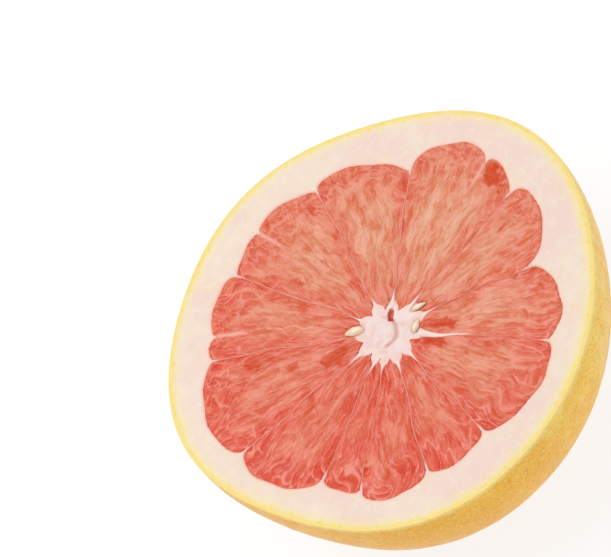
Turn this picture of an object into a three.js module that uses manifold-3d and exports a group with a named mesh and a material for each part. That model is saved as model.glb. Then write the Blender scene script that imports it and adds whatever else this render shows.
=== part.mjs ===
// Half a grapefruit, cut across its segments, with the seeds that show at its core.
// Millimetres, +Z up. The origin is the middle of the small flat spot that it rests on,
// and the cut face looks straight up.

import * as THREE from "three";
import { mergeVertices } from "three/addons/utils/BufferGeometryUtils.js";
import Module from "manifold-3d";

const wasm = await Module();
wasm.setup();

// ---- driving dimensions -------------------------------------------------

const rimRadius = 57.8;          // mean radius of the cut face, skin included
const cutHeight = 49.6;          // height of the cut face above the flat spot
const widestDrop = 4.5;          // how far below the cut the fruit is widest
const footRadius = 9.0;          // the small flat spot it rests on
const footFlattening = 0.5;      // how much of the round pole the flat spot takes off
const bowlPower = 1.98;          // 2 would be an exact ellipsoid; less is slimmer
const rimRound = 0.5;            // the knife edge of the skin is broken by this much

// The cut outline isn't a true circle: [waves round it, height, angle of a crest].
const outlineWaves = [
  [3, 1.1, 17],
  [4, 0.73, -3],
  [5, 0.59, 20],
];

const coreX = -0.9;              // the core sits a little off the middle
const coreY = -5.4;
const recessDepth = 0.8;         // flesh stands this much below the pith and membranes
const membraneWidth = 1.0;       // wall left standing between two segments
const lobePower = 2.4;           // how square-shouldered a segment's outer end is
const tipRound = 2.2;            // how much a segment's rounded inner tip reaches past its sides

// Where two segments meet: direction from the core, distance of the notch in the pith,
// how far the next segment's outer end bulges past the line between its two notches,
// where along it the bulge peaks, and how far from the core's middle its inner tip is.
const segments = [
  { angle: 6.6, notch: 45.1, bulge: 7.0, peak: 0.62, tip: 6.2 },
  { angle: 45.1, notch: 44.9, bulge: 3.8, peak: 0.70, tip: 6.6 },
  { angle: 76.8, notch: 49.1, bulge: 3.6, peak: 0.45, tip: 7.6 },
  { angle: 112.0, notch: 48.9, bulge: 2.8, peak: 0.36, tip: 7.6 },
  { angle: 140.5, notch: 48.5, bulge: 4.6, peak: 0.58, tip: 7.8 },
  { angle: 175.9, notch: 46.5, bulge: 4.2, peak: 0.52, tip: 7.6 },
  { angle: 207.6, notch: 40.4, bulge: 1.8, peak: 0.50, tip: 7.8 },
  { angle: 222.9, notch: 42.2, bulge: 4.2, peak: 0.42, tip: 8.6 },
  { angle: 246.7, notch: 40.6, bulge: 2.9, peak: 0.45, tip: 8.2 },
  { angle: 269.6, notch: 39.9, bulge: 3.7, peak: 0.46, tip: 7.4 },
  { angle: 306.8, notch: 43.1, bulge: 4.5, peak: 0.60, tip: 7.4 },
  { angle: 337.4, notch: 37.9, bulge: 5.4, peak: 0.60, tip: 8.6 },
];

// Seeds lie flat at the core: middle, direction of the pointed end, length and thickness.
const seeds = [
  { name: "seed_1", x: -7.3, y: 1.9, turn: 149, length: 5.2, width: 2.5 },
  { name: "seed_2", x: 8.5, y: -6.3, turn: 340, length: 4.0, width: 1.4 },
  { name: "seed_3", x: 4.7, y: -9.9, turn: 31, length: 3.4, width: 1.8 },
];
const seedProud = 0.4;           // a seed's back stands this much above the cut
const seedGap = 0.3;             // clearance between a seed and its pocket
const seedPointed = 0.35;        // how much slimmer a seed's pointed half is

const turnSteps = 84;            // facets round the fruit
const bowlSteps = 17;            // facets from the flat spot up to the cut
const evenRise = 0.25;           // share of even spacing mixed into the rounded spacing
const lobeSteps = 14;            // facets along a segment's outer end
const sideSteps = 3;             // facets along a membrane
const tipSteps = 6;              // facets round a segment's inner tip

// ---- materials ----------------------------------------------------------

const fruitMaterial = new THREE.MeshStandardMaterial({
  color: 0xe6ad49, roughness: 0.45, metalness: 0,
});
const seedMaterial = new THREE.MeshStandardMaterial({
  color: 0xf0e2c4, roughness: 0.5, metalness: 0,
});

// ---- solids -------------------------------------------------------------

function toSolid(geometry) {
  const bare = geometry.index ? geometry.toNonIndexed() : geometry.clone();
  bare.deleteAttribute("normal");
  bare.deleteAttribute("uv");
  const merged = mergeVertices(bare, 1e-4);
  return new wasm.Manifold(new wasm.Mesh({
    numProp: 3,
    vertProperties: new Float32Array(merged.attributes.position.array),
    triVerts: new Uint32Array(merged.index.array),
  }));
}

function toMesh(name, solid, material) {
  const data = solid.getMesh();
  const geometry = new THREE.BufferGeometry();
  geometry.setAttribute("position", new THREE.BufferAttribute(data.vertProperties, 3));
  geometry.setIndex(new THREE.BufferAttribute(data.triVerts, 1));
  geometry.computeVertexNormals();
  const mesh = new THREE.Mesh(geometry, material);
  mesh.name = name;
  return mesh;
}

// ---- the fruit ----------------------------------------------------------

// Radius of the bowl at a height, as a share of the rim's radius: a superellipse
// whose widest ring lies widestDrop below the cut.
function bowlShare(height) {
  const widestHeight = cutHeight - widestDrop;
  const poleReach = widestHeight + footFlattening;
  const share = (offset) => (1 - Math.abs(offset / poleReach) ** bowlPower) ** (1 / bowlPower);
  return share(height - widestHeight) / share(widestDrop);
}

// Profile from the middle of the flat spot, up the skin and back over the cut face.
function bowlProfile() {
  const profile = [new THREE.Vector2(0, 0), new THREE.Vector2(footRadius, 0)];
  for (let i = 1; i <= bowlSteps; i += 1) {
    const turn = (i / bowlSteps) * (Math.PI / 2);
    const rise = THREE.MathUtils.lerp(1 - Math.cos(turn), i / bowlSteps, evenRise);
    const height = (cutHeight - rimRound) * rise;
    profile.push(new THREE.Vector2(rimRadius * bowlShare(height), height));
  }
  profile.push(new THREE.Vector2(rimRadius - rimRound, cutHeight));
  profile.push(new THREE.Vector2(0, cutHeight));
  return profile;
}

// Carries the outline's waves down the bowl; they fade towards the flat spot.
function waveOutline(geometry) {
  const position = geometry.attributes.position;
  for (let i = 0; i < position.count; i += 1) {
    const x = position.getX(i);
    const y = position.getY(i);
    const angle = Math.atan2(y, x);
    const share = Math.min(1, Math.hypot(x, y) / rimRadius);
    let wave = 0;
    for (const [count, height, crest] of outlineWaves) {
      wave += height * Math.cos(count * (angle - THREE.MathUtils.degToRad(crest)));
    }
    const scale = 1 + (wave / rimRadius) * share;
    position.setXY(i, x * scale, y * scale);
  }
}

function bowlSolid() {
  const geometry = new THREE.LatheGeometry(bowlProfile(), turnSteps);
  geometry.rotateX(Math.PI / 2);
  waveOutline(geometry);
  return toSolid(geometry);
}

// ---- the segments -------------------------------------------------------

function polar(radius, degrees) {
  const angle = THREE.MathUtils.degToRad(degrees);
  return new THREE.Vector2(coreX + radius * Math.cos(angle), coreY + radius * Math.sin(angle));
}

// One segment's outline: out along one membrane, round the lobed outer end and back
// along the other. Each side keeps half a membrane's width from the line it shares.
function segmentShape(segment, next) {
  const span = (next.angle - segment.angle + 360) % 360;
  const inset = (radius) => THREE.MathUtils.radToDeg(membraneWidth / 2 / radius);
  const skew = Math.log(0.5) / Math.log(segment.peak);
  const points = [];
  for (let i = 0; i <= sideSteps; i += 1) {
    const radius = THREE.MathUtils.lerp(segment.tip + tipRound, segment.notch, i / sideSteps);
    points.push(polar(radius, segment.angle + Math.min(inset(radius), span * 0.4)));
  }
  for (let i = 1; i < lobeSteps; i += 1) {
    const along = 0.5 - 0.5 * Math.cos((i / lobeSteps) * Math.PI);
    const edge = Math.abs(2 * along ** skew - 1);
    const swell = segment.bulge * (1 - edge ** lobePower) ** (1 / lobePower);
    const radius = THREE.MathUtils.lerp(segment.notch, next.notch, along) + swell;
    const margin = inset(radius);
    points.push(polar(radius, segment.angle + margin + along * (span - 2 * margin)));
  }
  for (let i = sideSteps; i >= 0; i -= 1) {
    const radius = THREE.MathUtils.lerp(segment.tip + tipRound, next.notch, i / sideSteps);
    points.push(polar(radius, segment.angle + span - Math.min(inset(radius), span * 0.4)));
  }
  for (let i = 1; i < tipSteps; i += 1) {
    const along = 1 - i / tipSteps;
    const radius = segment.tip + tipRound * Math.abs(2 * along - 1) ** 2;
    const margin = inset(segment.tip + tipRound);
    points.push(polar(radius, segment.angle + margin + along * (span - 2 * margin)));
  }
  return new THREE.Shape(points);
}

function segmentCutter(segment, next) {
  const geometry = new THREE.ExtrudeGeometry(segmentShape(segment, next), {
    depth: recessDepth + 1, bevelEnabled: false, steps: 1,
  });
  geometry.translate(0, 0, cutHeight - recessDepth);
  return toSolid(geometry);
}

// ---- the seeds ----------------------------------------------------------

// An egg lying along its length: a sphere stretched, and slimmed towards its point.
function seedSolid(seed, grow) {
  const geometry = new THREE.SphereGeometry(1, 16, 10);
  geometry.rotateZ(-Math.PI / 2);
  const position = geometry.attributes.position;
  for (let i = 0; i < position.count; i += 1) {
    const along = position.getX(i);
    const slim = 1 - seedPointed * Math.max(0, along);
    position.setXYZ(
      i,
      along * (seed.length / 2 + grow),
      position.getY(i) * (seed.width / 2 + grow) * slim,
      position.getZ(i) * (seed.width / 2 + grow) * slim,
    );
  }
  geometry.rotateZ(THREE.MathUtils.degToRad(seed.turn));
  geometry.translate(seed.x, seed.y, cutHeight + seedProud - seed.width / 2);
  return toSolid(geometry);
}

// ---- the assembly -------------------------------------------------------

let fruit = bowlSolid();
segments.forEach((segment, index) => {
  const next = segments[(index + 1) % segments.length];
  fruit = fruit.subtract(segmentCutter(segment, next));
});

const grapefruit = new THREE.Group();
for (const seed of seeds) {
  fruit = fruit.subtract(seedSolid(seed, seedGap));
  grapefruit.add(toMesh(seed.name, seedSolid(seed, 0), seedMaterial));
}
grapefruit.add(toMesh("grapefruit_half", fruit, fruitMaterial));

export default grapefruit;
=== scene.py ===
import math

import bpy
import numpy as np
from mathutils import Matrix, Vector


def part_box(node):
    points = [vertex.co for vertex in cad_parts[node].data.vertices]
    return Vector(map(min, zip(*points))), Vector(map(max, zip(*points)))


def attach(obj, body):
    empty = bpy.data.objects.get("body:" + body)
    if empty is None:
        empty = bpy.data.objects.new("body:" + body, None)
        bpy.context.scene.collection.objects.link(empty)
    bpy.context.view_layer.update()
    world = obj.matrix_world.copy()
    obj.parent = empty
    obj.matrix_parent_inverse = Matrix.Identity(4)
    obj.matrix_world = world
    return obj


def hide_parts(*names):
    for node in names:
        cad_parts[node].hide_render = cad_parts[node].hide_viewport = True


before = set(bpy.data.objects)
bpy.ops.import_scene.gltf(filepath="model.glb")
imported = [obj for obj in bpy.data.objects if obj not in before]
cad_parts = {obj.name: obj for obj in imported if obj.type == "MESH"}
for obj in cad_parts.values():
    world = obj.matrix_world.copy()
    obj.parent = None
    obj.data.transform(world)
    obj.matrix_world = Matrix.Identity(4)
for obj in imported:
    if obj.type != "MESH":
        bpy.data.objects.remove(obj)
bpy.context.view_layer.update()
print("frame loaded")

mm = 0.001                       # shapes are worked out in millimetres, meshes are in metres
fruitNode = "grapefruit_half"
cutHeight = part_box(fruitNode)[1][2] / mm

# Numbers that several shapes share.

fruit = {
    "rimRadius": 57.8,           # mean radius of the cut face, skin included
    "widestDrop": 4.5,           # the fruit is widest this far below the cut
    "footFlattening": 0.5,       # how much of the round pole the flat spot takes off
    "bowlPower": 1.98,           # 2 would be an exact ellipsoid; less is slimmer
    "outlineWaves": [(3, 1.1, 17), (4, 0.73, -3), (5, 0.59, 20)],   # waves, height, crest angle
    "core": (-0.9, -5.4),        # middle of the core
}

# Each lobe of the flesh's outline, going round: angle where it starts as seen from the core,
# distance of the notch there, how far the lobe bulges past its two notches, where its bulge peaks.
lobes = [
    (6.6, 45.1, 2.8, 0.60),
    (20.6, 49.6, 6.0, 0.55),
    (45.1, 44.9, 3.9, 0.68),
    (76.8, 48.9, 3.1, 0.60),
    (97.6, 51.0, 1.9, 0.42),
    (112.0, 48.7, 3.4, 0.45),
    (132.6, 48.5, 1.3, 0.50),
    (140.5, 48.3, 4.7, 0.56),
    (175.9, 46.2, 4.5, 0.52),
    (207.6, 40.4, 2.3, 0.50),
    (222.9, 42.0, 4.4, 0.44),
    (246.7, 40.4, 3.3, 0.46),
    (269.6, 39.7, 4.0, 0.46),
    (306.8, 42.9, 4.7, 0.58),
    (337.4, 37.9, 5.6, 0.58),
]
# A membrane runs from the core to the notch before each of these lobes; the other notches are
# mere creases. White is how pale the wall looks, arm is how far the core's pith follows it out,
# and tip is where the segment after it starts.
membranes = [
    {"lobe": 0, "white": 0.10, "arm": 11.5, "tip": 6.2},
    {"lobe": 2, "white": 0.35, "arm": 10.5, "tip": 6.6},
    {"lobe": 3, "white": 0.35, "arm": 10.5, "tip": 7.4},
    {"lobe": 5, "white": 0.35, "arm": 10.0, "tip": 7.6},
    {"lobe": 7, "white": 0.30, "arm": 10.0, "tip": 7.8},
    {"lobe": 8, "white": 0.30, "arm": 12.0, "tip": 7.6},
    {"lobe": 9, "white": 0.20, "arm": 11.0, "tip": 7.8},
    {"lobe": 10, "white": 0.25, "arm": 11.0, "tip": 8.4},
    {"lobe": 11, "white": 0.30, "arm": 12.5, "tip": 8.2},
    {"lobe": 12, "white": 0.3, "arm": 12.0, "tip": 7.4},
    {"lobe": 13, "white": 0.2, "arm": 21.5, "tip": 7.4},
    {"lobe": 14, "white": 0.2, "arm": 12.0, "tip": 8.6},
]

# Seeds, as the frame has them: centre, pointed end's direction, length and thickness.
pips = {
    "seed_1": {"turn": 149, "length": 5.2, "width": 2.5},
    "seed_2": {"turn": 340, "length": 4.0, "width": 1.4},
    "seed_3": {"turn": 31, "length": 3.4, "width": 1.8},
}


def outlineWave(angle):
    # how far the outline stands out from a circle: a sum of cosines round the fruit
    wave = np.zeros_like(angle)
    for count, height, crest in fruit["outlineWaves"]:
        wave += height * np.cos(count * (angle - math.radians(crest)))
    return wave


def bowlShare(height):
    # radius at a height over the rim's radius: a superellipse, widest below the cut
    widest = cutHeight - fruit["widestDrop"]
    reach = widest + fruit["footFlattening"]
    power = fruit["bowlPower"]

    def share(offset):
        return (1 - np.abs(offset / reach) ** power) ** (1 / power)

    return share(height - widest) / share(fruit["widestDrop"])


def onBowl(radius, angle, height):
    # a point at an unwaved radius, pushed out by the outline's wave, which fades to the foot
    share = np.minimum(1, radius / fruit["rimRadius"])
    scale = 1 + outlineWave(angle) / fruit["rimRadius"] * share
    x, y = radius * scale * np.cos(angle), radius * scale * np.sin(angle)
    return np.stack([x, y, height + 0 * angle], -1)


# Noise on whole arrays.

# Large odd numbers that scatter the bits of whole numbers.
scatter = {"seed": 2654435761, "key": 2246822519, "fold": 3266489917, "next": 1664525, "add": 1013904223}


def stir(value, shift, factor):
    # folds the high bits of whole numbers into the low ones, multiplies, and folds again
    value = (value ^ (value >> np.uint32(shift))) * np.uint32(factor)
    return value ^ (value >> np.uint32(13))


def scramble(cells, seed):
    # three repeatable random numbers in 0..1 for each whole-number cell
    keys = cells.astype(np.int64).astype(np.uint32)
    value = np.full(cells.shape[:-1], seed * scatter["seed"] % 2 ** 32, np.uint32)
    for axis in range(cells.shape[-1]):
        value = stir((value ^ keys[..., axis]) * np.uint32(scatter["key"]), 15, scatter["fold"])
    result = []
    for step in range(3):
        value = value * np.uint32(scatter["next"]) + np.uint32(scatter["add"] + 97 * step)
        value = stir(value, 16, scatter["key"])
        result.append(value.astype(np.float64) / 2.0 ** 32)
    return np.stack(result, -1)


def smoothNoise(points, size, seed):
    # random values on a lattice, blended smoothly between its corners: -1..1
    scaled = np.asarray(points) / size
    base = np.floor(scaled)
    part = scaled - base
    blend = part * part * part * (part * (part * 6 - 15) + 10)
    dims = scaled.shape[-1]
    total = np.zeros(scaled.shape[:-1])
    for corner in range(2 ** dims):
        offset = np.array([(corner >> axis) & 1 for axis in range(dims)], float)
        weight = np.prod(np.where(offset > 0, blend, 1 - blend), axis=-1)
        total += weight * scramble(base + offset, seed)[..., 0]
    return 2 * total - 1


def cellNoise(points, seed):
    # distance to the nearest and second nearest scattered point, one in each unit cell,
    # and a random number that belongs to the nearest
    dims = points.shape[-1]
    base = np.floor(points)
    near = np.full(points.shape[:-1], 9.0)
    second = np.full(points.shape[:-1], 9.0)
    tone = np.zeros(points.shape[:-1])
    stray = 0.9                  # 1 lets a point lie anywhere in its cell
    for step in range(3 ** dims):
        offset = np.array([(step // 3 ** axis) % 3 - 1 for axis in range(dims)], float)
        cell = base + offset
        rand = scramble(cell, seed)
        spot = cell + 0.5 + stray * (rand[..., :dims] - 0.5)
        gap = np.linalg.norm(points - spot, axis=-1)
        closer = gap < near
        second = np.where(closer, near, np.minimum(second, gap))
        tone = np.where(closer, scramble(cell, seed + 7)[..., 0], tone)
        near = np.where(closer, gap, near)
    return near, second, tone


def ramp(value, low, high):
    # smooth step from 0 to 1
    part = np.clip((value - low) / (high - low), 0, 1)
    return part * part * (3 - 2 * part)


# Closed meshes from arrays of points.

def makeMesh(name, points, faces, attributes=None):
    mesh = bpy.data.meshes.new(name)
    mesh.from_pydata((points * mm).tolist(), [], faces)
    for key, values in (attributes or {}).items():
        vector = values.ndim == 2
        layer = mesh.attributes.new(key, "FLOAT_VECTOR" if vector else "FLOAT", "POINT")
        layer.data.foreach_set("vector" if vector else "value", values.astype(np.float32).ravel())
    mesh.polygons.foreach_set("use_smooth", np.ones(len(mesh.polygons), bool))
    mesh.update()
    piece = bpy.data.objects.new(name, mesh)
    bpy.context.scene.collection.objects.link(piece)
    return piece


def ringBody(name, rows, attributes=None):
    # a closed body from rings of points, first and last ring closed with a fan to their middle
    count, around = rows.shape[:2]
    ring = np.arange(around)
    following = np.roll(ring, -1)
    start = (np.arange(count - 1) * around)[:, None]
    above = start + around
    quads = np.stack([start + ring, start + following, above + following, above + ring], -1)
    flat = rows.reshape(-1, 3)
    first, last = len(flat), len(flat) + 1
    points = np.vstack([flat, rows[0].mean(0), rows[-1].mean(0)])
    faces = quads.reshape(-1, 4).tolist()
    faces += np.stack([following, ring, np.full(around, first)], -1).tolist()
    end = (count - 1) * around
    faces += np.stack([end + ring, end + following, np.full(around, last)], -1).tolist()
    extended = {}
    for key, values in (attributes or {}).items():
        extended[key] = np.concatenate([values.reshape(-1), [values[0].mean(), values[-1].mean()]])
    return makeMesh(name, points, faces, extended)


def slabBody(name, grid, depth, attributes=None):
    # a closed body under a grid of top points: its edge runs down to a smaller ring and a flat base
    rows, cols = grid.shape[:2]
    index = np.arange(rows * cols).reshape(rows, cols)
    quads = np.stack([index[:-1, :-1], index[1:, :-1], index[1:, 1:], index[:-1, 1:]], -1).reshape(-1, 4)
    edge = np.concatenate([index[0, :-1], index[:-1, -1], index[-1, :0:-1], index[:0:-1, 0]])
    flat = grid.reshape(-1, 3)
    middle = flat[edge].mean(0)
    lower = middle + (flat[edge] - middle) * 0.93
    lower[:, 2] = flat[edge][:, 2].min() - depth
    base = np.append(middle[:2], lower[0, 2])
    below = rows * cols + np.arange(len(edge))
    following = np.roll(below, -1)
    edgeNext = np.roll(edge, -1)
    faces = quads.tolist()
    faces += np.stack([edge, edgeNext, following, below], -1).tolist()
    faces += np.stack([below, following, np.full(len(edge), below[-1] + 1)], -1).tolist()
    extended = {}
    for key, values in (attributes or {}).items():
        values = values.reshape(rows * cols, -1)
        values = np.concatenate([values, values[edge], values[:1]])
        extended[key] = values if values.shape[1] == 3 else values[:, 0]
    return makeMesh(name, np.vstack([flat, lower, base]), faces, extended)


# Shader maths.

class Wire:
    # one output socket; operators on it add Math nodes
    def __init__(self, maker, socket):
        self.maker = maker
        self.socket = socket

    def math(self, kind, first, second):
        return self.maker.node("ShaderNodeMath", {"operation": kind}, {0: first, 1: second})

    def __add__(self, other):
        return self.math("ADD", self, other)

    def __sub__(self, other):
        return self.math("SUBTRACT", self, other)

    def __rsub__(self, other):
        return self.math("SUBTRACT", other, self)

    def __mul__(self, other):
        return self.math("MULTIPLY", self, other)

    __radd__ = __add__
    __rmul__ = __mul__


class Finish:
    # a material under construction
    def __init__(self, name, constants):
        self.material = bpy.data.materials.new(name)
        self.material.use_nodes = True
        self.tree = self.material.node_tree
        self.tree.nodes.clear()
        self.shader = self.tree.nodes.new("ShaderNodeBsdfPrincipled")
        output = self.tree.nodes.new("ShaderNodeOutputMaterial")
        self.tree.links.new(self.shader.outputs[0], output.inputs["Surface"])
        for key, value in constants.items():
            self.shader.inputs[key].default_value = value
        self.place = self.node("ShaderNodeTexCoord", out="Object")

    def node(self, kind, settings=None, values=None, out=0):
        made = self.tree.nodes.new(kind)
        for key, value in (settings or {}).items():
            setattr(made, key, value)
        for key, value in (values or {}).items():
            self.feed(made.inputs[key], value)
        return Wire(self, made.outputs[out])

    def feed(self, socket, value):
        if isinstance(value, Wire):
            self.tree.links.new(value.socket, socket)
        else:
            socket.default_value = value

    def put(self, key, value):
        self.feed(self.shader.inputs[key], value)

    def attribute(self, name, out="Fac"):
        return self.node("ShaderNodeAttribute", {"attribute_name": name}, out=out)

    def noise(self, size, detail=3.0, rough=0.55, where=None):
        # soft patches of about this many millimetres, 0..1
        place = where or self.place
        values = {"Vector": place, "Scale": 1 / (size * mm), "Detail": detail, "Roughness": rough}
        return self.node("ShaderNodeTexNoise", {}, values, out="Fac")

    def strands(self, place, stretch, rough):
        # noise in a surface's own coordinates, drawn out differently along each of them
        drawn = self.node("ShaderNodeVectorMath", {"operation": "MULTIPLY"}, {0: place, 1: stretch})
        return self.noise(1 / mm, 3, rough, drawn)

    def cells(self, size):
        # distance to the nearest of scattered spots, in spacings
        values = {"Vector": self.place, "Scale": 1 / (size * mm)}
        return self.node("ShaderNodeTexVoronoi", {"feature": "F1"}, values, out="Distance")

    def band(self, value, low, high, fromValue=0.0, toValue=1.0):
        # smooth step between two values
        values = {"Value": value, "From Min": low, "From Max": high}
        values.update({"To Min": fromValue, "To Max": toValue})
        return self.node("ShaderNodeMapRange", {"interpolation_type": "SMOOTHSTEP"}, values)

    def mix(self, factor, first, second):
        values = {0: factor, 6: first, 7: second}
        return self.node("ShaderNodeMix", {"data_type": "RGBA"}, values, out=2)

    def bump(self, height, distance, strength=1.0):
        values = {"Height": height, "Distance": distance * mm, "Strength": strength}
        return self.node("ShaderNodeBump", {}, values)


def tint(red, green, blue):
    # a colour as a screen shows it, 0..255, to the linear one that a socket takes: straight near
    # black, and above that a power of 2.4
    linear = []
    for part in (red / 255, green / 255, blue / 255):
        linear.append(part / 12.92 if part <= 0.04045 else ((part + 0.055) / 1.055) ** 2.4)
    return (*linear, 1.0)


def finishPiece(piece, material, slotName, *nodes):
    piece.data.materials.append(material)
    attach(piece, "root")
    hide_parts(*nodes)


# The camera.

camera = {
    "aim": (-7.0, 24.05),        # where its axis meets the cut plane
    "distance": 715.0,
    "elevation": 51.5,
    "roll": -43.3,
    "lens": 167.66,
    "sensor": 36,
    "nearest": 0.05,             # metres
}


def makeCamera():
    data = bpy.data.cameras.new("camera")
    data.lens = camera["lens"]
    data.sensor_width = camera["sensor"]
    data.clip_start = camera["nearest"]
    lens = bpy.data.objects.new("camera", data)
    bpy.context.scene.collection.objects.link(lens)
    lift = math.radians(camera["elevation"])
    aim = Vector((*camera["aim"], cutHeight)) * mm
    back = Vector((0, -math.cos(lift), math.sin(lift)))
    turn = Matrix.Rotation(math.radians(camera["roll"]), 4, back)
    upright = Matrix.Rotation(math.radians(90 - camera["elevation"]), 4, "X")
    lens.matrix_world = Matrix.Translation(aim + back * camera["distance"] * mm) @ turn @ upright
    bpy.context.scene.camera = lens


makeCamera()
print("camera placed")

# The skin, from its scar underneath to the cut edge.

skin = {
    "around": 560,
    "along": 148,
    "alongInside": 24,
    "thickness": 0.7,
    "rimRound": 0.45,            # the cut edge is broken by this much
    "poreSpacing": 2.1,
    "poreDepth": 0.11,
    "undulation": 0.22,
    "swells": [(14, 0.6, 3), (5.5, 0.3, 4), (2.6, 0.16, 5)],   # size, share and seed of each
    "scarRadius": 3.9,
    "scarEdge": 1.3,
    "ripeAndShadeSide": -135,            # direction in which the skin has the deepest colour: partly its own ripe colour, partly painted shade, with painted light on the far side
    "golden": tint(250, 200, 60),
    "pale": tint(251, 214, 98),
    "blush": tint(246, 184, 74),
    # deepest orange of that side: partly the skin's own colour, partly painted shade
    "ripeAndShade": tint(243, 170, 6),
    "low": tint(240, 160, 10),   # painted shade: deeper and darker orange towards the underside
    "mottle": tint(242, 172, 24),
    "pore": tint(216, 140, 44),
    "finePore": tint(226, 156, 60),
    "lightGrit": tint(254, 220, 100),
    "darkGrit": tint(230, 156, 20),
    "speck": tint(176, 108, 40),
    # the cut edge's own paler colour, lightened further as painted light on its shaded rounded edge
    "rim": tint(247, 222, 138),
    "scar": tint(150, 112, 62),
}


def bowlArc(steps, inset=0.0):
    # points from the foot's middle up the bowl to the rim, evenly spaced along the arc
    footSteps = 400
    fine = np.linspace(0, 1, 4000)
    height = (cutHeight - skin["rimRound"]) * (1 - np.cos(fine * math.pi / 2))
    radius = fruit["rimRadius"] * bowlShare(height)
    radius = np.concatenate([np.linspace(0, radius[0], footSteps)[:-1], radius])
    height = np.concatenate([np.zeros(footSteps - 1), height])
    slope = np.gradient(radius), np.gradient(height)
    size = np.hypot(*slope)
    radius, height = radius - inset * slope[1] / size, height + inset * slope[0] / size
    travel = np.concatenate([[0], np.cumsum(np.hypot(np.diff(radius), np.diff(height)))])
    even = np.linspace(0, travel[-1], steps)
    return np.interp(even, travel, radius), np.interp(even, travel, height)


def makeSkin():
    # the bowl's arc turned round the fruit, over the rounded cut edge and back down inside it
    angle = np.linspace(0, 2 * math.pi, skin["around"], endpoint=False)
    radius, height = bowlArc(skin["along"])
    corner = np.linspace(0, math.pi / 2, 5)[1:]
    cornerRadius = radius[-1] - skin["rimRound"] * (1 - np.cos(corner))
    cornerHeight = cutHeight - skin["rimRound"] * (1 - np.sin(corner))
    inRadius, inHeight = bowlArc(skin["alongInside"], skin["thickness"])
    profileRadius = np.concatenate([radius[1:], cornerRadius, [inRadius[-1]], inRadius[::-1][:-1]])
    profileHeight = np.concatenate([height[1:], cornerHeight, [cutHeight], inHeight[::-1][:-1]])
    points = onBowl(profileRadius[:, None], angle[None, :], profileHeight[:, None])
    # the relief is full on the outside and fades out over the last rows before the cut edge
    fadeOut = [0.9, 0.7, 0.5, 0.3, 0.15, 0.05, 0]
    outer = np.zeros(len(profileRadius))
    outer[:len(radius) - 1] = 1
    outer[len(radius) - 6:len(radius) + 1] = fadeOut
    relief = (ramp(profileHeight, 0.3, 3.0) * outer)[:, None]
    # pits sink at scattered spots, broad undulation lifts the skin between them
    near, _, tone = cellNoise(points / skin["poreSpacing"], 11)
    pit = (1 - ramp(near, 0.0, 0.42)) * (0.4 + 0.6 * tone)
    swell = sum(smoothNoise(points, size, seed) * share for size, share, seed in skin["swells"])
    shift = relief * (skin["undulation"] * (swell - 0.35) - skin["poreDepth"] * pit)
    # outward is square to the profile
    slope = np.gradient(profileRadius), np.gradient(profileHeight)
    size = np.maximum(1e-6, np.hypot(*slope))
    sideways = (slope[1] / size)[:, None]
    upwards = np.repeat((-slope[0] / size)[:, None], len(angle), 1)
    outward = np.stack([sideways * np.cos(angle), sideways * np.sin(angle), upwards], -1)
    points = points + outward * shift[..., None]
    points[..., 2] = np.maximum(points[..., 2], 0)
    bearing = np.arctan2(points[..., 1], points[..., 0])
    # towards that side the skin is deeper in colour, partly painted shade; away from it paler, partly
    # painted light
    ripeAndShade = 0.5 + 0.5 * np.cos(bearing - math.radians(skin["ripeAndShadeSide"]))
    # only the lower part of the bowl counts as near the pole
    fromPole = np.hypot(points[..., 0], points[..., 1])
    fromPole = np.where(profileHeight[:, None] < 10, fromPole, 99)
    fromRim = np.repeat((cutHeight - profileHeight)[:, None], len(angle), 1)
    return ringBody("skin", points[::-1], {
        "ripeAndShade": ripeAndShade[::-1],
        "fromPole": fromPole[::-1],
        "fromRim": fromRim[::-1],
    })


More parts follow.
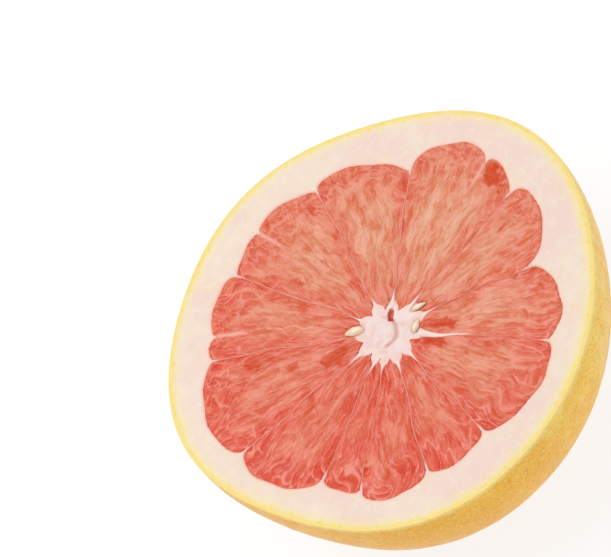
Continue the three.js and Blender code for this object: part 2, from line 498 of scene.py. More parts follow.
def skinFinish():
    look = Finish("skinWax", {
        "Roughness": 0.42, "Specular IOR Level": 0.36, "Coat Weight": 0.05, "Coat Roughness": 0.3,
    })
    colour = look.mix(look.band(look.noise(16, 4), 0.35, 0.65), skin["golden"], skin["pale"])
    # one side deeper orange and the other paler: partly the skin's own colour, partly painted shade and
    # painted light
    ripeAndShade = look.attribute("ripeAndShade") + (look.noise(11, 3) - 0.5) * 0.8
    colour = look.mix(look.band(ripeAndShade, 0.6, 1.0) * 0.85, colour, skin["ripeAndShade"])
    colour = look.mix(look.band(look.noise(26, 3), 0.5, 0.72) * 0.5, colour, skin["blush"])
    # painted shade: the skin turns darker and deeper orange towards the underside
    low = look.band(look.attribute("fromRim"), 3, 26)
    colour = look.mix(low * 0.6, colour, skin["low"])
    mottle = look.noise(3.2, 4, 0.6)
    colour = look.mix(look.band(mottle, 0.42, 0.7) * 0.35, colour, skin["mottle"])
    pores = look.cells(1.75)
    dark = 1 - look.band(pores, 0.06, 0.34)
    colour = look.mix(dark * 0.4, colour, skin["pore"])
    fine = look.cells(0.85)
    colour = look.mix((1 - look.band(fine, 0.1, 0.4)) * 0.18, colour, skin["finePore"])
    grit = look.noise(0.6, 3, 0.65)
    colour = look.mix(look.band(grit, 0.5, 0.64) * 0.5, colour, skin["lightGrit"])
    colour = look.mix((1 - look.band(grit, 0.36, 0.5)) * 0.45, colour, skin["darkGrit"])
    specks = (1 - look.band(look.cells(2.9), 0.05, 0.13)) * look.band(look.noise(9, 2), 0.5, 0.6)
    colour = look.mix(specks * 0.55, colour, skin["speck"])
    # paler cut edge: partly its own colour, partly painted light that lifts the rounded edge's shade
    rim = 1 - look.band(look.attribute("fromRim") + look.noise(1.6, 3) * 1.4, 0.7, 2.4)
    colour = look.mix(rim * 0.9, colour, skin["rim"])
    inner, outer = skin["scarRadius"] - skin["scarEdge"], skin["scarRadius"] + skin["scarEdge"]
    scar = 1 - look.band(look.attribute("fromPole") + look.noise(2, 3) * 2, inner, outer)
    colour = look.mix(scar * 0.85, colour, skin["scar"])
    look.put("Base Color", colour)
    look.put("Roughness", look.band(mottle, 0.3, 0.7, 0.34, 0.5) + scar * 0.3)
    height = look.band(pores, 0.05, 0.42) * 0.7 + look.band(fine, 0.05, 0.4) * 0.18
    look.put("Normal", look.bump(height + look.noise(1.1, 3) * 0.25, 0.16, 0.8))
    return look.material


finishPiece(makeSkin(), skinFinish(), "rind", fruitNode)
print("skin made")

# The flesh and the outline that it shares with the pith.

flesh = {
    "step": 0.27,                # spacing of the surface's points
    "lobePower": 2.1,
    "tipRound": 2.9,             # how far a segment's rounded inner tip reaches past its sides
    "sacWidth": 1.35,
    "sacLength": 9.0,
    "rindSacLength": 3.4,        # sacs look rounder where the cut meets them near the rind
    "fanBehind": 26.0,           # sacs fan out from a point this far behind the core
    "fanReach": 55.0,            # and have their true width this far from that point
    "sacRelief": 0.13,
    "edgeDrop": 0.32,
    "level": -0.1,               # against the cut plane
    "paleSide": 24,              # direction from the core in which the flesh is palest
    "membrane": 0.16,            # half a membrane's width
    "depth": 3.0,                # how far down a segment's mesh reaches
    "tuckedTip": 0.7,            # its inner tip starts this far under the core
    "orangeRed": tint(218, 50, 14),
    "pinkRed": tint(218, 62, 48),
    "palest": tint(222, 154, 120),
    "lightPale": tint(233, 178, 150),  # strands lighter and darker than the pale and the red flesh
    "lightRed": tint(232, 108, 88),
    "darkPale": tint(213, 100, 58),
    "darkRed": tint(204, 36, 6),
    "coreStrand": tint(228, 152, 138),
    "sacSkin": tint(234, 150, 134),
    "creaseLine": tint(240, 176, 160),
    "openSac": tint(204, 62, 6),
    "rindEdge": tint(220, 96, 76),
}


def lobeAngles(index, step):
    # angles along one lobe, closer together towards its notches, which are steep
    start, nextLobe = lobes[index], lobes[(index + 1) % len(lobes)]
    span = (nextLobe[0] - start[0]) % 360
    count = max(8, int(round(math.radians(span) * start[1] * 1.15 / step)))
    along = 0.5 - 0.5 * np.cos(np.arange(count) / count * math.pi)
    return start[0] + span * (0.35 * np.arange(count) / count + 0.65 * along)


def outlineRadius(degrees):
    # distance of the flesh's edge from the core: a line between two notches plus a rounded bulge
    degrees = np.asarray(degrees, float) % 360
    radius = np.zeros_like(degrees)
    for index, (start, notch, bulge, peak) in enumerate(lobes):
        following = lobes[(index + 1) % len(lobes)]
        span = (following[0] - start) % 360
        along = ((degrees - start) % 360) / span
        inside = along <= 1
        along = np.clip(along, 1e-9, 1)
        skew = math.log(0.5) / math.log(peak)
        power = flesh["lobePower"]
        swell = bulge * np.clip(1 - np.abs(2 * along ** skew - 1) ** power, 0, 1) ** (1 / power)
        radius = np.where(inside, notch + (following[1] - notch) * along + swell, radius)
    # a slight wobble: two sines multiplied, 23 and 7 waves round the fruit
    wobble = 0.35 * np.sin(np.radians(degrees * 23)) * np.sin(np.radians(degrees * 7 + 40))
    return radius + wobble


def fromCore(radius, degrees):
    turn = np.radians(degrees)
    return fruit["core"][0] + radius * np.cos(turn), fruit["core"][1] + radius * np.sin(turn)


# The ring of pith between the skin and the flesh.

pith = {
    "edgeRows": 8,               # rows that fill the notches between the lobes
    "rows": 26,
    "hiddenRows": 16,
    "step": 0.34,
    "level": -0.14,              # against the cut plane
    "sponge": 0.05,
    "insideSkin": 0.5,           # where its face ends, from the fruit's outside
    "hem": 0.36,                 # where its edge dips under the skin
    "tuck": 0.4,                 # how far it reaches under the flesh
    "backDepth": 8.0,            # thickness of the hidden part that follows the skin
    "innerDepth": 3.0,
    "cream": tint(237, 219, 203),
    "rosy": tint(236, 211, 200),
    "warm": tint(239, 215, 187),
    "peach": tint(242, 202, 168),
    "grain": tint(234, 204, 186),
    "cloud": tint(238, 207, 192),
    "bright": tint(242, 228, 208),
    "fleshStain": tint(240, 176, 156),  # where juice has soaked in
    "fleshHaze": tint(244, 200, 182),
    "paleYellow": tint(244, 229, 156),  # towards the skin
    "yellow": tint(241, 219, 118),
    "rim": tint(240, 208, 110),
    "gland": tint(232, 188, 76),
}


def lobeEnvelope(degrees):
    # the flesh's outline with its notches bridged: the greatest radius within some degrees, smoothed
    even = np.arange(0, 360, 0.5)
    edge = outlineRadius(even)
    widest = np.max([np.roll(edge, shift) for shift in range(-14, 15)], axis=0)
    bridged = np.mean([np.roll(widest, shift) for shift in range(-12, 13)], axis=0)
    return np.interp(degrees % 360, np.append(even, 360), np.append(bridged, bridged[0])) + 0.5


def makePith():
    # rows of points from the flesh's outline, over its bridged notches, out to the skin
    degrees = np.concatenate([lobeAngles(index, pith["step"]) for index in range(len(lobes))])
    edge = outlineRadius(degrees)
    # the inner edge reaches a little way under the flesh, along the outline's own normal
    innerX, innerY = fromCore(edge, degrees)
    alongX, alongY = [np.roll(axis, -1) - np.roll(axis, 1) for axis in (innerX, innerY)]
    size = np.hypot(alongX, alongY)
    innerX, innerY = innerX - pith["tuck"] * alongY / size, innerY + pith["tuck"] * alongX / size
    bridgeX, bridgeY = fromCore(np.maximum(lobeEnvelope(degrees), edge + 0.3), degrees)
    angle = np.radians(degrees)
    outer = onBowl(np.full_like(angle, fruit["rimRadius"] - pith["insideSkin"]), angle, cutHeight)
    hem = onBowl(np.full_like(angle, fruit["rimRadius"] - pith["hem"]), angle, cutHeight)
    near = np.linspace(0, 1, pith["edgeRows"], endpoint=False)[:, None]
    far = np.linspace(0, 1, pith["rows"])[:, None]
    x = np.concatenate([
        innerX + (bridgeX - innerX) * near, bridgeX + (outer[:, 0] - bridgeX) * far, hem[None, :, 0],
    ])
    y = np.concatenate([
        innerY + (bridgeY - innerY) * near, bridgeY + (outer[:, 1] - bridgeY) * far, hem[None, :, 1],
    ])
    fromRim = fruit["rimRadius"] + outlineWave(np.arctan2(y, x)) - np.hypot(x, y)
    # true distance to the flesh: the nearest of the outline's points a little way to either side
    fromFlesh = np.full(x.shape, 99.0)
    sideways = 36
    for shift in range(-sideways, sideways + 1):
        gap = np.hypot(x - np.roll(innerX, shift), y - np.roll(innerY, shift))
        fromFlesh = np.minimum(fromFlesh, gap)
    flat = np.stack([x, y], -1)
    # broad and fine unevenness, which fades out along the flesh and along the skin
    relief = smoothNoise(flat, 9, 21) * 0.12 + smoothNoise(flat, 2.4, 22) * 0.06
    relief = relief + smoothNoise(flat, 0.9, 23) * pith["sponge"]
    sink = 0.18 * (1 - ramp(fromFlesh, 0, 0.8))
    z = cutHeight + relief * ramp(fromFlesh, 0.4, 2.5) + pith["level"] - sink
    flush = cutHeight + 0.01
    nearRim = 1 - ramp(fromRim, 0.7, 2.2)
    z = np.minimum(z + (flush - z) * nearRim, flush)
    z[-1] = cutHeight - 0.07
    top = np.stack([x, y, z], -1)
    # under the face the pith follows the skin down and comes back up round the flesh
    radius, height = bowlArc(pith["hiddenRows"], skin["thickness"] + 0.1)
    below = onBowl(radius[::-1][:, None], angle[None, :], height[::-1][:, None])[1:-1]
    radius, height = bowlArc(pith["hiddenRows"], pith["backDepth"])
    back = onBowl(radius[:, None], angle[None, :], height[:, None])[1:-2]
    foot = np.full_like(innerX, cutHeight - pith["innerDepth"])
    up = np.stack([innerX, innerY, foot], -1)[None]
    rows = np.concatenate([back, up, top, below])

    def spread(face):
        # the hidden rows are far from both edges
        before = np.full((len(back) + 1, len(degrees)), 30.0)
        after = np.full((len(below), len(degrees)), 30.0)
        return np.concatenate([before, face, after])[::-1]

    return ringBody("pith", rows[::-1], {"fromRim": spread(fromRim), "fromFlesh": spread(fromFlesh)})


def pithFinish():
    look = Finish("pithSponge", {"Roughness": 0.72, "Specular IOR Level": 0.2})
    colour = look.mix(look.band(look.noise(14, 3), 0.42, 0.64), pith["cream"], pith["rosy"])
    colour = look.mix(look.band(look.noise(6, 3), 0.52, 0.72) * 0.6, colour, pith["warm"])
    colour = look.mix(look.band(look.noise(3.6, 3), 0.6, 0.75) * 0.4, colour, pith["peach"])
    grain = look.noise(0.8, 3, 0.6)
    colour = look.mix(look.band(grain, 0.5, 0.75) * 0.3, colour, pith["grain"])
    cloud = look.noise(2.2, 3, 0.6)
    colour = look.mix(look.band(cloud, 0.5, 0.7) * 0.3, colour, pith["cloud"])
    colour = look.mix((1 - look.band(cloud, 0.34, 0.48)) * 0.4, colour, pith["bright"])
    fromFlesh = look.attribute("fromFlesh")
    colour = look.mix((1 - look.band(fromFlesh, 0.1, 0.75)) * 0.65, colour, pith["fleshStain"])
    colour = look.mix((1 - look.band(fromFlesh, 0.4, 2.2)) * 0.2, colour, pith["fleshHaze"])
    fromRim = look.attribute("fromRim")
    glands = look.cells(1.7)
    ragged = fromRim + look.noise(1.3, 3) * 1.2 + glands + look.noise(9, 2) * 1.6
    fade = 1 - look.band(ragged, 2.8, 6.2)
    colour = look.mix(fade * 0.55, colour, pith["paleYellow"])
    yellow = 1 - look.band(ragged, 2.3, 4.3)
    colour = look.mix(yellow * 0.75, colour, pith["yellow"])
    rim = 1 - look.band(fromRim + look.noise(1.5, 2) * 0.8, 0.9, 1.7)
    colour = look.mix(rim * 0.3, colour, pith["rim"])
    colour = look.mix((1 - look.band(glands, 0.1, 0.3)) * yellow * 0.35, colour, pith["gland"])
    look.put("Base Color", colour)
    look.put("Roughness", 0.75 - yellow * 0.25)
    height = grain * 0.6 + look.noise(0.35, 2) * 0.4 - (1 - look.band(glands, 0.1, 0.35)) * yellow
    look.put("Normal", look.bump(height, 0.1, 0.6))
    return look.material


finishPiece(makePith(), pithFinish(), "pith", fruitNode)
print("pith made")

# The twelve segments.

# Sacs that stand open, dark and wet: middle, direction, length, width and strength.
deepSacs = [
    (-14.4, -0.2, 168, 8.0, 4.6, 1.0),
    (9.2, -14.4, 311, 9.5, 3.2, 0.95),
    (5.4, -17.6, 301, 9.0, 3.0, 0.95),
    (44.1, 6.9, 74, 9.0, 4.8, 1.0),
    (27.5, 24.6, 62, 8.0, 2.0, 0.6),
    (20.0, 15.5, 47, 7.0, 1.3, 0.7),
    (-16.0, 31.6, 75, 4.5, 2.4, 0.5),
    (-8.6, 24.5, 290, 6.0, 1.6, 0.5),
    (-5.0, 45.2, 60, 5.5, 2.4, 0.55),
    (6.2, 40.0, 80, 6.0, 1.7, 0.5),
    (-31.4, 16.4, 120, 4.0, 2.2, 0.6),
    (-33.2, 27.0, 160, 5.0, 2.4, 0.45),
    (35.4, -21.6, 20, 4.5, 2.4, 0.5),
    (14.2, -28.4, 300, 4.0, 1.8, 0.6),
    (-24.6, -36.2, 230, 4.0, 2.0, 0.6),
    (36.5, -6.2, 10, 6.0, 1.6, 0.5),
    (-31.3, 15.9, 150, 5.0, 3.4, 0.75),
    (-27.5, 13.6, 140, 3.6, 2.4, 0.6),
    (-24.1, 7.1, 170, 4.0, 2.6, 0.55),
    (-25.8, -3.9, 230, 4.4, 2.4, 0.5),
]


def membraneHalf(radius, membrane):
    # half a membrane's width: thin in the middle, and wider by a power of the nearness where it
    # joins the core and the pith
    notch = lobes[membrane["lobe"]][1]
    toCore = np.clip((radius - membrane["tip"]) / (membrane["arm"] - membrane["tip"]), 0, 1)
    toPith = np.clip((notch - radius) / 4.5, 0, 1)
    return flesh["membrane"] + 1.15 * (1 - toCore) ** 1.7 + 0.28 * (1 - toPith) ** 3


def membraneSway(radius, index):
    # a membrane isn't quite straight: it sways sideways by a few tenths of a millimetre
    phase = index * 1.7
    fade = ramp(radius, 8, 16) * (1 - ramp(radius, 34, 42))
    return fade * (0.45 * np.sin(radius / 6.5 + phase) + 0.22 * np.sin(radius / 2.6 + 2 * phase))


def ovalReach(x, y, middleX, middleY, direction, length, width):
    # 0 in the middle of a turned oval, 1 on its edge
    turn = math.radians(direction)
    along = (x - middleX) * math.cos(turn) + (y - middleY) * math.sin(turn)
    across = (y - middleY) * math.cos(turn) - (x - middleX) * math.sin(turn)
    return np.hypot(along / (length / 2), across / (width / 2))


def seedDent(x, y):
    # flesh and core sink round each seed, so that it lies in a pocket
    dent = np.zeros_like(x)
    for name, pip in pips.items():
        low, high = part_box(name)
        middle = [(low[axis] + high[axis]) / 2 / mm for axis in (0, 1)]
        reach = ovalReach(x, y, *middle, pip["turn"], pip["length"], pip["width"])
        dent = np.maximum(dent, 1 - ramp(reach, 0.9, 1.5))
    return dent


def sacPattern(x, y, midAngle, toRind, seed):
    # juice sacs: scattered cells, long towards the core and rounder near the rind, fanning out
    # from a point behind the core, with the lines between them bent by broad noise
    middle = math.radians(midAngle)
    farX = fruit["core"][0] - flesh["fanBehind"] * math.cos(middle)
    farY = fruit["core"][1] - flesh["fanBehind"] * math.sin(middle)
    flat = np.stack([x, y], -1)
    curl = 0.7 + 2.3 * (1 - ramp(toRind, 2, 14))
    bentX = x + curl * smoothNoise(flat, 6.5, seed) + 0.4 * smoothNoise(flat, 2.2, seed + 1)
    bentY = y + curl * smoothNoise(flat, 6.5, seed + 2) + 0.4 * smoothNoise(flat, 2.2, seed + 3)
    away = np.hypot(bentX - farX, bentY - farY)
    turn = np.arctan2(bentY - farY, bentX - farX) - middle
    turn = (turn + math.pi) % (2 * math.pi) - math.pi
    # counted in sacs along the fan, whose length shrinks towards the rind
    step = 0.5
    table = np.arange(0, 110, step)
    rindShare = ramp(table, 60, 74)
    length = flesh["sacLength"] + (flesh["rindSacLength"] - flesh["sacLength"]) * rindShare
    along = np.interp(away, table, np.cumsum(step / length))
    across = turn * flesh["fanReach"]
    near, second, tone = cellNoise(np.stack([along, across / flesh["sacWidth"]], -1), seed + 5)
    place = np.stack([along * flesh["sacLength"], across, np.full_like(along, seed)], -1)
    return second - near, tone, place


def segmentSpan(order):
    # a segment's two membranes, its lobes, where it starts and how many degrees it takes
    here, beyond = membranes[order], membranes[(order + 1) % len(membranes)]
    first, last = here["lobe"], beyond["lobe"]
    parts = [(first + step) % len(lobes) for step in range((last - first) % len(lobes))]
    return here, beyond, parts, lobes[first][0], (lobes[last][0] - lobes[first][0]) % 360


def deepPlaces(x, y):
    # how far each point lies inside one of the open sacs, whose edges are bent by noise
    flat = np.stack([x, y], -1)
    bend = 1 + 0.5 * smoothNoise(flat, 2.2, 90) + 0.3 * smoothNoise(flat, 0.9, 91)
    deep = np.zeros_like(x)
    for *spot, strength in deepSacs:
        sunk = 1 - ramp(ovalReach(x, y, *spot) * bend, 0.2, 1.3)
        deep = np.maximum(deep, strength * sunk)
    return deep


def creasePlaces(radius, turn, parts):
    # a segment with two lobes is creased inwards from the notch between them: a bowed line,
    # deepest at the notch
    crease = np.zeros_like(turn)
    for lobe in parts[1:]:
        angle, notch = lobes[lobe][:2]
        bow = math.radians(angle) + 0.004 * (notch - radius) * math.sin(3.0 * lobe)
        fullTurns = 2 * math.pi * np.round((bow - turn) / (2 * math.pi))
        across = np.abs(turn - bow + fullTurns) * radius
        line = (1 - ramp(across, 0.15, 0.8)) * (1 - ramp(notch - radius, 4, 12))
        crease = np.maximum(crease, line)
    return crease


def makeSegment(order):
    # a grid that runs across from one membrane to the next and out from the core to the pith
    here, beyond, parts, startAngle, span = segmentSpan(order)
    degrees = np.concatenate([lobeAngles(lobe, flesh["step"]) for lobe in parts])
    degrees = np.append(startAngle + (degrees - startAngle) % 360, startAngle + span)
    part = (degrees - startAngle) / span
    tiny = 1e-6
    edge = outlineRadius(np.clip(degrees, startAngle + tiny, startAngle + span - tiny)) - 0.1
    tip = here["tip"] - flesh["tuckedTip"] + flesh["tipRound"] * np.abs(2 * part - 1) ** 2.2
    rows = int(round((edge.max() - tip.min()) / flesh["step"]))
    radius = tip + (edge - tip) * np.linspace(0, 1, rows)[:, None]
    # the sides keep clear of the membranes
    leftShift = (membraneHalf(radius, here) + membraneSway(radius, here["lobe"])) / radius
    rightShift = (membraneSway(radius, beyond["lobe"]) - membraneHalf(radius, beyond)) / radius
    width = np.radians(span)
    turn = np.radians(startAngle) + leftShift + (width - leftShift + rightShift) * part
    x = fruit["core"][0] + radius * np.cos(turn)
    y = fruit["core"][1] + radius * np.sin(turn)
    flat = np.stack([x, y], -1)
    toSide = np.minimum(part, 1 - part) * radius * width
    toRind = edge - radius
    toEnd = np.minimum(toRind, radius - tip)
    gap, tone, place = sacPattern(x, y, startAngle + span / 2, toRind, 100 + 20 * order)
    deep = deepPlaces(x, y)
    crease = creasePlaces(radius, turn, parts)
    # plump sacs on a gently uneven level, sunk at creases, open sacs, seeds and all its edges
    plump = ramp(gap, 0.0, 0.6)
    level = flesh["level"] + 0.16 * smoothNoise(flat, 7, 50 + order)
    z = cutHeight + level + flesh["sacRelief"] * (plump - 0.75) + 0.1 * (tone - 0.5) * plump
    z = z - 0.3 * deep - 0.15 * crease - 0.6 * seedDent(x, y)
    z = z - flesh["edgeDrop"] * (1 - ramp(toEnd, -0.1, 0.6)) - 0.1 * (1 - ramp(toSide, 0, 0.5))
    return slabBody(f"segment_{order + 1}", np.stack([x, y, z], -1), flesh["depth"], {
        "gap": gap,
        "tone": tone,
        "pale": 0.5 + 0.5 * np.cos(turn - math.radians(flesh["paleSide"])),
        "place": place,
        "deep": deep,
        "crease": crease,
        "toSide": toSide,
        "toRind": toRind,
        "toCore": radius - tip,
    })


def fleshFinish():
    look = Finish("juiceSacs", {
        "Roughness": 0.34, "Specular IOR Level": 0.26, "Subsurface Weight": 0.06,
        "Subsurface Radius": (1.0, 0.3, 0.15), "Subsurface Scale": 0.001,
    })
    gap, tone, pale = [look.attribute(name) for name in ("gap", "tone", "pale")]
    toSide, toRind, toCore = [look.attribute(name) for name in ("toSide", "toRind", "toCore")]
    place = look.attribute("place", "Vector")
    patch, blotch = look.noise(8, 3), look.noise(3.0, 4, 0.6)
    # the middle of a segment is palest, the rind end and the sides along the membranes reddest
    outer = (1 - look.band(toRind + (patch - 0.5) * 22, 2, 17)) * 0.62
    side = (1 - look.band(toSide + (patch - 0.5) * 9, 0.6, 5)) * 0.5
    inner = (1 - look.band(toCore + (patch - 0.5) * 12, 2, 10)) * 0.3
    redness = 1 - (1 - outer) * (1 - side) * (1 - inner)
    redness = redness * (1 - pale * 0.3)
    redness = redness + (1 - redness) * (1 - pale) * 0.58
    rosy = look.band(look.noise(4.5, 3), 0.46, 0.62) * 0.5
    red = look.mix(rosy, flesh["orangeRed"], flesh["pinkRed"])
    colour = look.mix(redness, flesh["palest"], red)
    light = look.mix(redness, flesh["lightPale"], flesh["lightRed"])
    dark = look.mix(redness, flesh["darkPale"], flesh["darkRed"])
    # pale and dark strands run along the sacs, in three widths
    wide = look.strands(place, (0.1, 0.42, 1), 0.55)
    middling = look.strands(place, (0.2, 0.95, 1), 0.6)
    fine = look.strands(place, (0.45, 1.9, 1), 0.6)
    colour = look.mix(look.band(blotch, 0.5, 0.64) * 0.6, colour, dark)
    colour = look.mix((1 - look.band(blotch, 0.36, 0.5)) * 0.5, colour, light)
    colour = look.mix(look.band(tone, 0.5, 0.95) * 0.3, colour, dark)
    colour = look.mix(look.band(wide, 0.5, 0.62) * 0.65, colour, light)
    colour = look.mix((1 - look.band(wide, 0.38, 0.5)) * 0.5, colour, dark)
    colour = look.mix(look.band(middling, 0.5, 0.64) * 0.4, colour, light)
    colour = look.mix((1 - look.band(middling, 0.36, 0.5)) * 0.4, colour, dark)
    colour = look.mix(look.band(fine, 0.54, 0.7) * 0.2, colour, light)
    colour = look.mix((1 - look.band(fine, 0.32, 0.46)) * 0.15, colour, dark)
    nearCore = 1 - look.band(toCore, 4, 18)
    colour = look.mix(look.band(middling, 0.5, 0.6) * nearCore * 0.45, colour, flesh["coreStrand"])
    speckle = look.noise(0.55, 2, 0.6)
    colour = look.mix(look.band(speckle, 0.56, 0.72) * 0.3, colour, light)
    colour = look.mix((1 - look.band(speckle, 0.3, 0.44)) * 0.3, colour, dark)
    # thin pink skins between the sacs show most near the rind
    skins = (1 - look.band(gap, 0.02, 0.2)) * look.band(look.noise(2.4, 2), 0.36, 0.54)
    nearRind = 1 - look.band(toRind, 6, 18)
    colour = look.mix(skins * (0.4 + nearRind * 0.35), colour, flesh["sacSkin"])
    colour = look.mix(look.attribute("crease") * 0.8, colour, flesh["creaseLine"])
    deep = look.attribute("deep")
    colour = look.mix(look.band(deep, 0.0, 0.8) * 0.9, colour, flesh["openSac"])
    colour = look.mix((1 - look.band(toRind, 0.1, 0.9)) * 0.4, colour, flesh["rindEdge"])
    look.put("Base Color", colour)
    wet = look.band(look.noise(1.2, 3), 0.3, 0.7, 0.24, 0.44)
    look.put("Roughness", wet - deep * 0.1)
    height = middling * 0.7 + fine * 0.5 + look.noise(0.7, 3) * 0.4
    look.put("Normal", look.bump(height, 0.22, 0.6))
    return look.material


fleshMaterial = fleshFinish()
for order in range(len(membranes)):
    finishPiece(makeSegment(order), fleshMaterial, "flesh", fruitNode)
print("segments made")

# The membranes between the segments.

wall = {
    "rows": 170,
    "cols": 9,
    "overlap": 0.12,             # how far each side reaches into the flesh
    "intoCore": 0.6,
    "intoPith": 1.5,
    "depth": 4.0,                # height of the wall
    "red": tint(222, 122, 98),
    "white": tint(242, 214, 204),
    "patch": tint(236, 176, 156),
}


def makeMembranes():
    # each membrane is a thin wall with a rounded top, from inside the core out into its notch
    points, faces, whiteness = [], [], []
    total = 0
    profile = np.linspace(-1, 1, wall["cols"])
    for membrane in membranes:
        index = membrane["lobe"]
        angle, notch = lobes[index][:2]
        start, end = membrane["tip"] - wall["intoCore"], notch + wall["intoPith"]
        radius = np.linspace(start, end, wall["rows"])[:, None]
        half = membraneHalf(radius, membrane) + wall["overlap"]
        turn = math.radians(angle) + (membraneSway(radius, index) + half * profile) / radius
        x = fruit["core"][0] + radius * np.cos(turn)
        y = fruit["core"][1] + radius * np.sin(turn)
        flat = np.stack([x, y], -1)
        crown = 0.1 + 0.1 * smoothNoise(flat, 5, 61)
        inside = ramp(radius, start, start + 2.0)
        outside = 1 - ramp(radius, end - 2.0, end)
        z = cutHeight - 0.2 + crown * (1 - profile ** 2) - 0.8 * np.abs(profile) ** 6
        z = z - 0.9 * (1 - inside) - 0.4 * (1 - outside) - 0.8 * seedDent(x, y)
        top = np.stack([x, y, z], -1)
        low = top[:, [-1, 0]] * np.array([1, 1, 0]) + np.array([0, 0, cutHeight - wall["depth"]])
        loop = np.concatenate([top, low], 1)
        rows, cols = loop.shape[:2]
        grid = total + np.arange(rows * cols).reshape(rows, cols)
        nextCol = np.roll(grid, -1, 1)
        quads = np.stack([grid[:-1], grid[1:], nextCol[1:], nextCol[:-1]], -1).reshape(-1, 4)
        faces += quads.tolist() + [grid[0].tolist(), grid[-1, ::-1].tolist()]
        points.append(loop.reshape(-1, 3))
        toPith = 0.65 - 0.65 * ramp(notch - radius, 0.3, 3.4)
        toCore = 1 - ramp(radius, membrane["arm"] - 2.0, membrane["arm"] + 3.0)
        white = np.maximum(membrane["white"], np.maximum(toPith, toCore))
        whiteness.append(np.repeat(white, cols, 1).reshape(-1))
        total += rows * cols
    return makeMesh("membranes", np.vstack(points), faces, {"white": np.concatenate(whiteness)})


def membraneFinish():
    look = Finish("membraneSkin", {"Roughness": 0.45, "Specular IOR Level": 0.35})
    white = look.attribute("white")
    patchy = look.band(white + look.noise(3, 3) * 0.5 - 0.25, 0.1, 1.0)
    colour = look.mix(patchy, wall["red"], wall["white"])
    colour = look.mix(look.band(look.noise(1.2, 3), 0.5, 0.7) * 0.2, colour, wall["patch"])
    look.put("Base Color", colour)
    look.put("Roughness", look.band(look.noise(1.5, 2), 0.3, 0.7, 0.4, 0.6))
    look.put("Normal", look.bump(look.noise(0.6, 3), 0.08, 0.5))
    return look.material


finishPiece(makeMembranes(), membraneFinish(), "pith", fruitNode)
print("membranes made")

# The star of pith in the middle.

core = {
    "around": 260,
    "rows": 78,
    "reach": 14.0,
    "level": -0.42,              # against the cut plane
    "depth": 5.0,
    "knob": (-2.6, -4.3),
    "knobRadius": 4.2,
    "knobHeight": 0.35,
    "crackWidth": 0.42,
    "crackDepth": 0.9,
    "gapDepth": 1.3,
    "gap": (2.1, -2.1, 44, 4.0, 1.9),    # the small red hollow beside the knob, as deepSacs
    "white": tint(237, 216, 211),
    "rosy": tint(233, 201, 194),
    "warm": tint(250, 226, 200),
    "arms": tint(246, 190, 168),
    "crackLine": tint(222, 160, 148),
    "gapRed": tint(212, 96, 76),
}


def makeCore():
    # rings round the core's middle, sinking under the flesh beyond the star's arms
    angle = np.linspace(0, 2 * math.pi, core["around"], endpoint=False)
    reach = np.linspace(0.05, core["reach"], core["rows"])[:, None]
    x = fruit["core"][0] + reach * np.cos(angle)
    y = fruit["core"][1] + reach * np.sin(angle)
    flat = np.stack([x, y], -1)
    knobX, knobY = x - core["knob"][0], y - core["knob"][1]
    toKnob = np.hypot(knobX, knobY) + 0.25 * smoothNoise(flat, 3, 71)
    # dome of the knob, a curved crack round its +X and -Y sides, and a spongy surface
    dome = core["knobHeight"] * (1 - ramp(toKnob, 1.0, core["knobRadius"]))
    bearing = np.degrees(np.arctan2(knobY, knobX))
    side = ramp(bearing, -130, -100) * (1 - ramp(bearing, 30, 60))
    crack = np.exp(-((toKnob - core["knobRadius"]) / core["crackWidth"]) ** 2) * side
    hollow = 1 - ramp(ovalReach(x, y, *core["gap"]), 0.5, 1.1)
    lumps = smoothNoise(flat, 2.6, 72) * 0.2 + smoothNoise(flat, 1.0, 73) * 0.08
    z = cutHeight + core["level"] + dome + lumps * (1 - ramp(reach, 5, 8))
    z = z - core["crackDepth"] * crack - core["gapDepth"] * hollow
    z = z - 1.3 * ramp(reach, 8, 12.5) - 0.6 * seedDent(x, y)
    z = np.minimum(z, cutHeight + 0.1)
    top = np.stack([x, y, z], -1)
    bottom = top[-1:] * np.array([1, 1, 0]) + np.array([0, 0, cutHeight - core["depth"]])
    rows = np.concatenate([top, bottom])

    def extend(values):
        # nothing on the bottom ring
        return np.concatenate([values, values[-1:] * 0])

    return ringBody("core", rows, {
        "crack": extend(crack),
        "hollow": extend(hollow),
        "reach": extend(np.repeat(reach, len(angle), 1)),
    })


def coreFinish():
    look = Finish("corePith", {"Roughness": 0.6, "Specular IOR Level": 0.3})
    colour = look.mix(look.band(look.noise(2.5, 3), 0.4, 0.65), core["white"], core["rosy"])
    colour = look.mix(look.band(look.noise(1.0, 3), 0.5, 0.75) * 0.35, colour, core["warm"])
    colour = look.mix(look.band(look.attribute("reach"), 5.5, 11) * 0.45, colour, core["arms"])
    colour = look.mix(look.attribute("crack") * 0.5, colour, core["crackLine"])
    colour = look.mix(look.band(look.attribute("hollow"), 0.05, 0.4) * 0.95, colour, core["gapRed"])
    look.put("Base Color", colour)
    look.put("Roughness", look.band(look.noise(1.3, 2), 0.3, 0.7, 0.5, 0.7))
    look.put("Normal", look.bump(look.noise(0.5, 3), 0.1, 0.6))
    return look.material


finishPiece(makeCore(), coreFinish(), "pith", fruitNode)
print("core made")

# The seeds.

pipCoat = {
    "rows": 40,
    "around": 56,
    "slimming": 0.35,            # how much slimmer the pointed half is
    "wrinkles": 9,
    "wrinkleDepth": 0.05,
    "cream": tint(243, 228, 204),
    "tan": tint(236, 212, 178),
    "spot": tint(226, 190, 150),
}


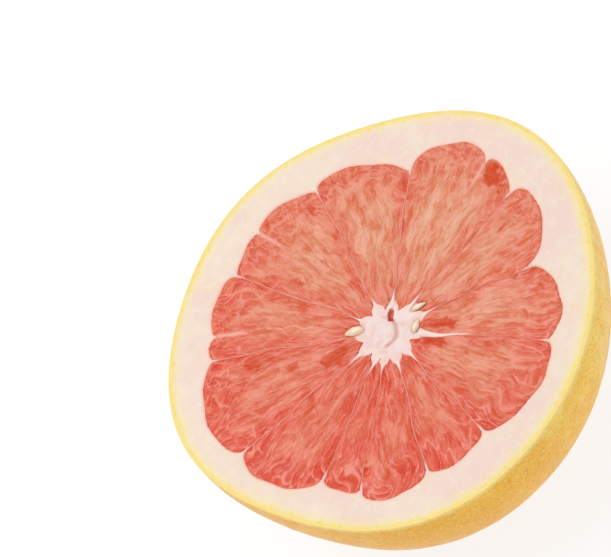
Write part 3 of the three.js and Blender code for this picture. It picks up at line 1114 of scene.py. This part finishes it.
def makePip(name, pip, seed):
    # an egg stretched along its length, slimmed towards its point, with fine lengthwise wrinkles
    low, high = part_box(name)
    centre = (np.array(low) + np.array(high)) / 2 / mm
    along = np.cos(np.linspace(0, math.pi, pipCoat["rows"]))[1:-1, None]
    turn = np.linspace(0, 2 * math.pi, pipCoat["around"], endpoint=False)[None, :]
    slim = (1 - pipCoat["slimming"] * np.clip(along, 0, 1)) * np.sqrt(1 - along ** 2)
    wrinkle = 0.5 + 0.5 * np.cos(turn * pipCoat["wrinkles"] + seed)
    ridge = 1 - pipCoat["wrinkleDepth"] * wrinkle * (1 - along ** 2)
    x = along * pip["length"] / 2 + 0 * turn
    y = np.cos(turn) * slim * ridge * pip["width"] / 2
    z = np.sin(turn) * slim * ridge * pip["width"] / 2
    angle = math.radians(pip["turn"])
    points = np.stack([
        x * math.cos(angle) - y * math.sin(angle),
        x * math.sin(angle) + y * math.cos(angle),
        z,
    ], -1)
    flat = points.reshape(-1, 3)
    middle = (flat.max(0) + flat.min(0)) / 2
    return ringBody(name + "_body", points - middle + centre)


def pipFinish():
    look = Finish("seedCoat", {"Roughness": 0.35, "Specular IOR Level": 0.5})
    colour = look.mix(look.band(look.noise(1.6, 3), 0.4, 0.65), pipCoat["cream"], pipCoat["tan"])
    colour = look.mix(look.band(look.noise(0.5, 2), 0.55, 0.7) * 0.3, colour, pipCoat["spot"])
    look.put("Base Color", colour)
    look.put("Roughness", look.band(look.noise(0.8, 2), 0.3, 0.7, 0.28, 0.45))
    look.put("Normal", look.bump(look.noise(0.4, 3), 0.06, 0.5))
    return look.material


pipMaterial = pipFinish()
for order, (name, pip) in enumerate(pips.items()):
    finishPiece(makePip(name, pip, order), pipMaterial, "seed", name)
print("seeds made")

# The floor and the light.

studio = {                       # metres and watts
    "floorSize": 3.0,
    "floorShade": tint(122, 123, 125),
    "floorGlow": 0.81,           # light that the floor gives off itself, as a light table does
    "skyStrength": 0.62,
    "keyPower": 9.0,
    "keySize": 0.9,
    "keyPlace": (-0.25, 0.25, 1.3),
    "fillPower": 0.9,
    "fillSize": 0.8,
    "fillPlace": (0.8, -0.6, 0.2),
}


def makeSoftbox(name, power, size, place):
    # a square lamp that faces the origin
    lamp = bpy.data.lights.new(name, "AREA")
    lamp.size = size
    lamp.energy = power
    softbox = bpy.data.objects.new(name, lamp)
    softbox.location = place
    softbox.rotation_euler = Vector(place).to_track_quat("Z", "Y").to_euler()
    bpy.context.scene.collection.objects.link(softbox)


def makeStudio():
    half = studio["floorSize"] / 2
    corners = np.array([(-half, -half, 0), (half, -half, 0), (half, half, 0), (-half, half, 0)]) / mm
    floor = makeMesh("floor", corners, [[0, 1, 2, 3]])
    paper = Finish("floorPaper", {
        "Roughness": 0.9, "Specular IOR Level": 0.1,
        "Emission Color": (1, 1, 1, 1), "Emission Strength": studio["floorGlow"],
    })
    paper.put("Base Color", studio["floorShade"])
    floor.data.materials.append(paper.material)
    world = bpy.data.worlds.new("softRoom")
    world.use_nodes = True
    sky = world.node_tree.nodes["Background"]
    sky.inputs["Color"].default_value = (1, 1, 1, 1)
    sky.inputs["Strength"].default_value = studio["skyStrength"]
    bpy.context.scene.world = world
    makeSoftbox("keyLight", studio["keyPower"], studio["keySize"], studio["keyPlace"])
    makeSoftbox("fillLight", studio["fillPower"], studio["fillSize"], studio["fillPlace"])
    bpy.context.scene.view_settings.view_transform = "Standard"
    bpy.context.scene.view_settings.look = "None"


makeStudio()
print("studio lit")
